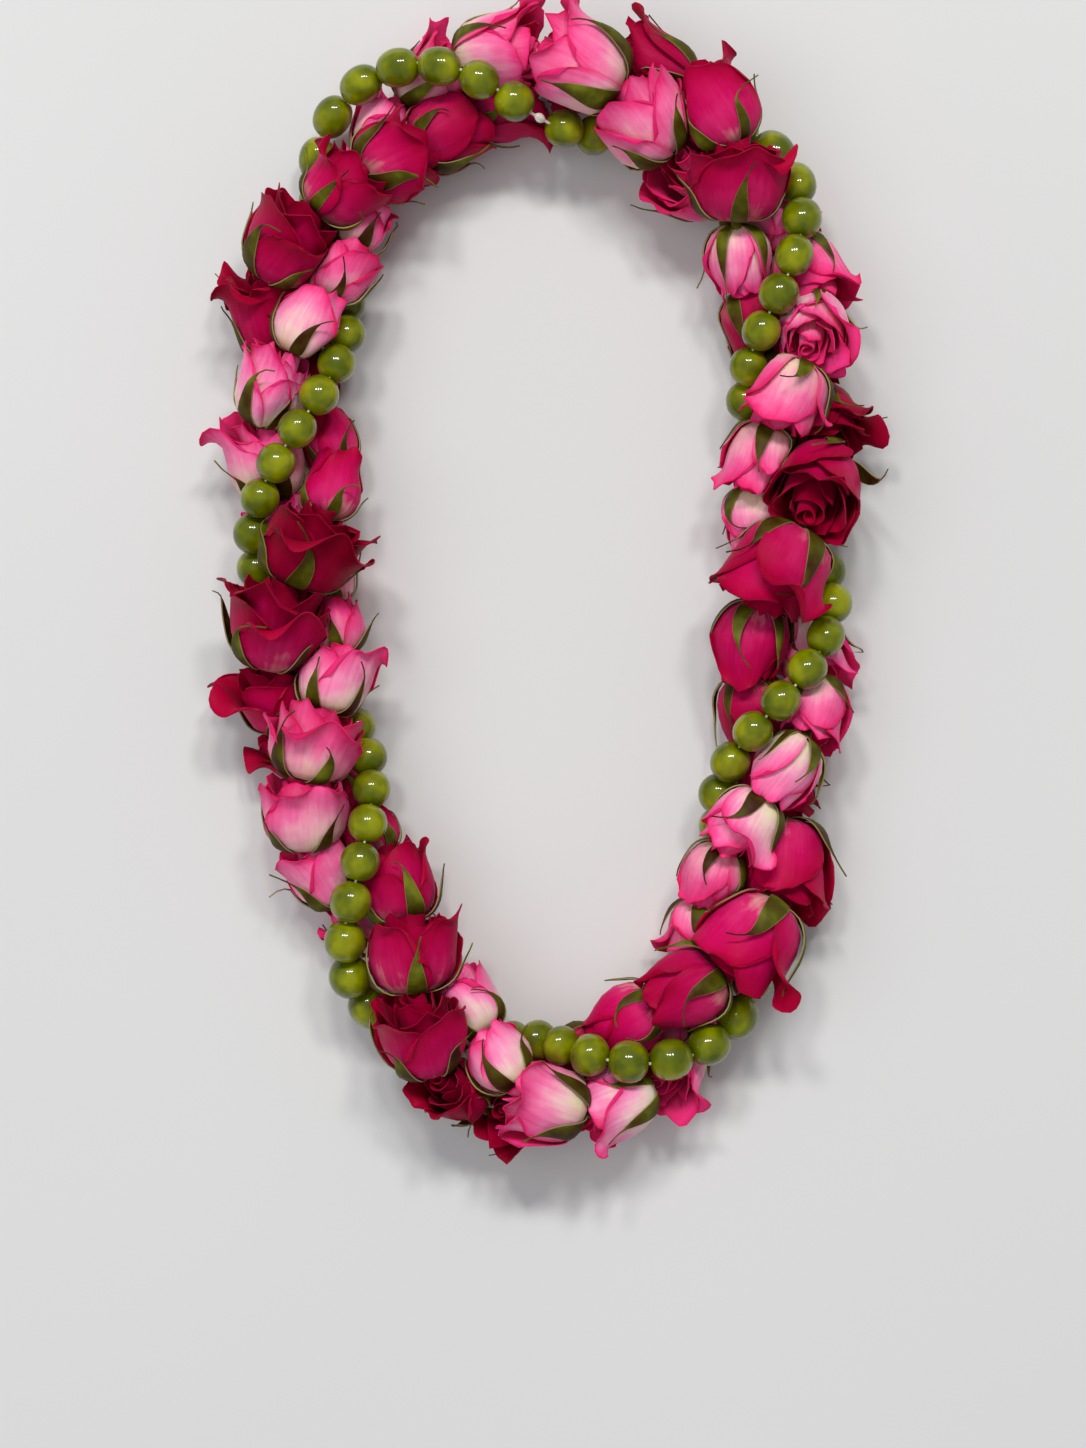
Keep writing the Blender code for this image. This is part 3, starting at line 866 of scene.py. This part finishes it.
def on_sepal(rose, sepal, across, along):
    """Where a point of the sepal blank lies: along the petals, then free of them."""
    reach = along * sepal["length"]
    spot = follow(PROFILES[FORM_PROFILE[rose.form]], reach)
    free = max(0, along - sepal["clings"]) / (1 - sepal["clings"])
    arch = SEPAL_ARCH * (1 - across ** 2)
    radius = spot.x + SEPAL_LIFT + arch + sepal["curl"] * free ** 2
    height = spot.y - sepal["fall"] * free ** 2
    width = (sepal["width"] * max(1 - NARROWING * along, 0) ** BROADNESS
             + TIP_WIDTH * (TIP_END - along))
    angle = sepal["turn"] + across * width + sepal["swirl"] * free ** 2
    radius *= dented(0, angle, reach, rose)
    return rose.pressed(rose.spot(radius, angle, height))


def sepals_of(rose, luck):
    """The sepals of one rose, evenly spread but for a little luck."""
    for i in range(SEPALS):
        yield {
            "turn": rose.sepal_turn + math.tau * i / SEPALS + luck.uniform(-0.12, 0.12),
            "length": luck.uniform(0.58, 0.86),
            "clings": luck.uniform(0.4, 0.75),
            "curl": 0.08 + 0.5 * luck.random() ** 2,
            "fall": luck.uniform(-0.1, 0.15),
            "width": luck.uniform(0.32, 0.46),
            "swirl": luck.uniform(-0.6, 0.6),
        }


def on_stalk(rose, x, y, z):
    """The stalk covers the thread, from inside the last rose to this rose's hip."""
    side = rose.along.orthogonal().normalized()
    across = rose.along.cross(side)
    return (rose.root + (side * x + across * y) * STALK_WIDTH
            + rose.along * (z * STALK_LENGTH - STALK_START))


def build_sepals(pair, name):
    """The sepals, hips and stalks of two roses as one piece."""
    leaves, hips = [], []
    for rose in pair:
        luck = random.Random(f"{rose.name} sepals {rose.number}")
        for sepal in sepals_of(rose, luck):
            leaves.append(copy_of(sepal_blank, lambda x, y, z: on_sepal(rose, sepal, x, y)))
        hips.append(copy_of(hip_blank, lambda x, y, z: rose.pressed(
            rose.spot(math.hypot(x, y), math.atan2(y, x), z))))
        hips.append(copy_of(hip_blank, lambda x, y, z: on_stalk(rose, x, y, z)))
    leaf_piece = joined(leaves, name, [sepal_skin])
    apply_modifier(leaf_piece, "SOLIDIFY", thickness=SEPAL_THICKNESS, offset=0)
    return joined([leaf_piece, *hips], name, [sepal_skin])


for name, node, pair in rose_nodes():
    finish_piece(build_sepals(pair, f"{node}_sepals"), [node])
print("sepals:", SEPALS * len(all_roses))

# %% [markdown]
# ## Berry finish
# The berries are fresh and waxy: olive green with soft yellow clouds, and a small
# pale scar at each end. Glass-like transparency could be tried, but a fresh berry
# is only clear enough to glow. One ramp over cloudy noise, under a clear coat, is
# nearer to it, and the UV map's top and bottom edges show where the scars go.

# %% Berry skin
# Wax over a matt skin gives the eye small sharp highlights, one for each lamp,
# over a green that stays soft.
CLOUDS = 1 / (10 * MM)                  # yellow clouds about 10 mm wide
SCAR_START, SCAR_END = 0.47, 0.485      # from 0, at the waist, to 0.5, at the end
berry_skin, tree, shader = new_finish(
    "waxy berry skin", Roughness=0.35, IOR=1.45, Specular_IOR_Level=0.08,
    Coat_Weight=0.9, Coat_Roughness=0.03)
spots = add(tree, "TexCoord")
clouds = add(tree, "TexNoise", {
    "Vector": spots.outputs["Object"], "Scale": CLOUDS, "Detail": 2.0})
greens = add(tree, "ValToRGB", {0: clouds.outputs["Fac"]}, stops=[
    (0.34, "#505A00"), (0.50, "#6A7200"), (0.68, "#8C9000")])
ball = add(tree, "SeparateXYZ", {0: spots.outputs["UV"]})
to_end = add(tree, "Math", {0: ball.outputs[1], 1: 0.5}, operation="SUBTRACT")
end = add(tree, "Math", {0: to_end.outputs[0]}, operation="ABSOLUTE")
scar = add(tree, "MapRange", {
    "Value": end.outputs[0], "From Min": SCAR_START, "From Max": SCAR_END})
scarred = add(tree, "Mix", {
    0: scar.outputs[0], 6: greens.outputs[0], 7: linear("#B4AC68")}, data_type="RGBA")
tree.links.new(scarred.outputs[2], shader.inputs["Base Color"])
print("finish:", berry_skin.name)

# %% [markdown]
# ## Berries
# The berries are firm and nearly round, a little fuller than a ball, with a shallow
# dimple where the thread goes in. A profile could be spun, but a sphere already has
# the right rings: its points are moved out and its ends pushed in. Each copy is then
# turned to its string, a hair's breadth from the next, and they differ a little in size.

# %% The berry blank
FULLNESS = 2.12                             # 2 is a ball, and more is fuller at the shoulders
DIMPLE_DEPTH, DIMPLE_WIDTH = 0.03, 0.3      # shares of the berry's radius
deselect()
bpy.ops.mesh.primitive_uv_sphere_add(segments=24, ring_count=14, radius=1)
berry_blank = bpy.context.object
berry_blank.name = "berry_blank"
for vertex in berry_blank.data.vertices:
    across = math.hypot(vertex.co.x, vertex.co.y)
    vertex.co *= (across ** FULLNESS + abs(vertex.co.z) ** FULLNESS) ** (-1 / FULLNESS)
    vertex.co.z *= 1 - DIMPLE_DEPTH * math.exp(-(across / DIMPLE_WIDTH) ** 2)
print("berry blank:", len(berry_blank.data.polygons), "faces")

# %% Turn and string the berries
BERRIES_PER_NODE = 5
FRONT, FRONT_GROWTH = -0.12, 0.07       # the berries in front of this y are larger
BERRY_LENGTH = 1.2                      # a berry's length can't be more than this times its width
BERRY_GAP = 0.16 * MM
luck = random.Random("berries")
berry_growth = [luck.uniform(0.89, 0.95) + (FRONT_GROWTH if middle.y < FRONT else 0.0)
                for middle in berry_middles]


def on_berry(k, x, y, z):
    """Where a point of the blank lies on berry k."""
    first, last = berry_ends[k], berry_ends[k + 1]
    radius = BERRY_RADIUS * berry_growth[k]
    way = (last - first).normalized()
    side = way.orthogonal().normalized()
    across = way.cross(side)
    half = min(radius * BERRY_LENGTH, ((last - first).length - BERRY_GAP) / 2)
    return berry_middles[k] + (side * x + across * y) * radius + way * z * half


for i in range(0, BERRY_COUNT, BERRIES_PER_NODE):
    node = f"green_berries_{i // BERRIES_PER_NODE + 1:02d}"
    parts = [copy_of(berry_blank, lambda x, y, z: on_berry(k, x, y, z))
             for k in range(i, min(i + BERRIES_PER_NODE, BERRY_COUNT))]
    finish_piece(joined(parts, f"{node}_skins", [berry_skin]), [node])
for blank in (petal_blank, fallen_petal_blank, small_petal_blank, heart_blank,
              sepal_blank, hip_blank, berry_blank):
    bpy.data.objects.remove(blank)
print("berries:", BERRY_COUNT, "from", round(2 * BERRY_RADIUS * min(berry_growth) / MM, 1),
      "to", round(2 * BERRY_RADIUS * max(berry_growth) / MM, 1), "mm wide")

# %% [markdown]
# ## Thread
# The lei is strung on cotton thread, which shows only as white dots between the
# berries. It could be modelled strand by strand, but at 1.1 mm thick nobody would
# see that, so the CAD threads stay as they are and only get a finish.

# %% Thread finish
# Cotton is matt and off-white, which gives the eye a small soft light spot, without
# a highlight, where two berries meet.
FLUFF = 1 / (0.5 * MM)      # tufts about 0.5 mm wide
thread_skin, tree, shader = new_finish("cotton thread", Roughness=0.9, IOR=1.5)
spots = add(tree, "TexCoord")
fluff = add(tree, "TexNoise", {
    "Vector": spots.outputs["Object"], "Scale": FLUFF, "Detail": 2.0})
white = add(tree, "ValToRGB", {0: fluff.outputs["Fac"]}, stops=[
    (0.35, "#D8D2C0"), (0.65, "#F2EEE2")])
tree.links.new(white.outputs[0], shader.inputs["Base Color"])
threads = [frame["nodes"][name] for name in ("magenta_thread", "pink_thread", "berry_thread")]
for thread in threads:
    thread.data.materials.clear()
    thread.data.materials.append(thread_skin)
print("threads:", [thread.name for thread in threads])

# %% [markdown]
# ## Floor
# The lei lies on a wide pale floor. A curved backdrop is usual for pictures from
# the side, but the camera looks straight down here, so one plane is enough.

# %% Floor
# Matt paint gives the eye a plain light ground, with only the lei's soft shadow on it.
HAZE = 1.5      # clouds of a slightly other grey, about 0.7 m wide
deselect()
bpy.ops.mesh.primitive_plane_add(size=6)
floor = bpy.context.object
floor.name = "floor"
floor.location.z = -0.5 * MM
paint, tree, shader = new_finish("matt pale paint", Roughness=0.9, Specular_IOR_Level=0.2)
spots = add(tree, "TexCoord")
haze = add(tree, "TexNoise", {"Vector": spots.outputs["Object"], "Scale": HAZE, "Detail": 2.0})
grey = add(tree, "ValToRGB", {0: haze.outputs["Fac"]}, stops=[
    (0.3, "#D3D3D2"), (0.7, "#D8D8D7")])
tree.links.new(grey.outputs[0], shader.inputs["Base Color"])
floor.data.materials.append(paint)
floor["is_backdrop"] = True
print("floor at z in mm:", round(floor.location.z / MM, 1))

# %% [markdown]
# ## Light
# A row of small ceiling lamps makes the small highlights on the berries and most of
# the shadow, and a wide window fills it softly. One large light could do both, but
# it would show as a milky patch on each berry. So the window lights the lei without
# being mirrored in it, and an even pale sky lifts the rest.

# %% Ceiling lamps, window and sky
SKY = 0.30
LAMP_SPACING = 0.64
bpy.context.scene.view_settings.view_transform = "Standard"
world = bpy.context.scene.world or bpy.data.worlds.new("World")
bpy.context.scene.world = world
world.use_nodes = True
world.node_tree.nodes["Background"].inputs["Color"].default_value = linear("#F4F6FA")
world.node_tree.nodes["Background"].inputs["Strength"].default_value = SKY


def area_light(name, place, size, power, colour):
    """A round lamp that shines at the middle of the lei."""
    deselect()
    bpy.ops.object.light_add(type="AREA", location=place)
    lamp = bpy.context.object
    lamp.name = name
    lamp.data.shape = "DISK"
    lamp.data.size = size
    lamp.data.energy = power
    lamp.data.color = linear(colour)[:3]
    lamp.rotation_euler = (-Vector(place)).to_track_quat("-Z", "Y").to_euler()
    return lamp


for x in (-LAMP_SPACING, 0.0, LAMP_SPACING):
    area_light("ceiling lamp", (x, 1.6, 2.7), 0.42, 24, "#FFFEFC")
window = area_light("window", (-1.2, -0.4, 2.8), 2.8, 29, "#FAFBFF")
window.visible_glossy = False

# %% [markdown]
# ## Camera
# A camera high above the middle of the picture looks straight down. It could be
# placed by eye, but its distance follows from the lens and from the picture's
# real height, so that the lei comes out at the right size.

# %% Camera
IMAGE_WIDTH, IMAGE_HEIGHT = 1086, 1448
SENSOR = 36 * MM
LENS = 85 * MM
image_middle = from_pixel((IMAGE_WIDTH / 2, IMAGE_HEIGHT / 2))
distance = IMAGE_HEIGHT * METRES_PER_PIXEL * LENS / SENSOR
deselect()
bpy.ops.object.camera_add(
    location=image_middle + UP * (distance + ROPE_HEIGHT), rotation=(0, 0, 0))
camera = bpy.context.object
camera.data.lens = LENS / MM
camera.data.sensor_fit = "VERTICAL"
camera.data.sensor_height = SENSOR / MM
bpy.context.scene.camera = camera
print("camera height in metres:", round(camera.location.z, 3))

# %% [markdown]
# ## Sizes
# Petals and sepals reach a little beyond the CAD part. Its box is printed near the start, and the
# box of all the finished pieces here at the end.

# %% Print the size of the finished pieces
visual_box = [list(corner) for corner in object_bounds()]
print("visual box in metres:", rounded(visual_box))
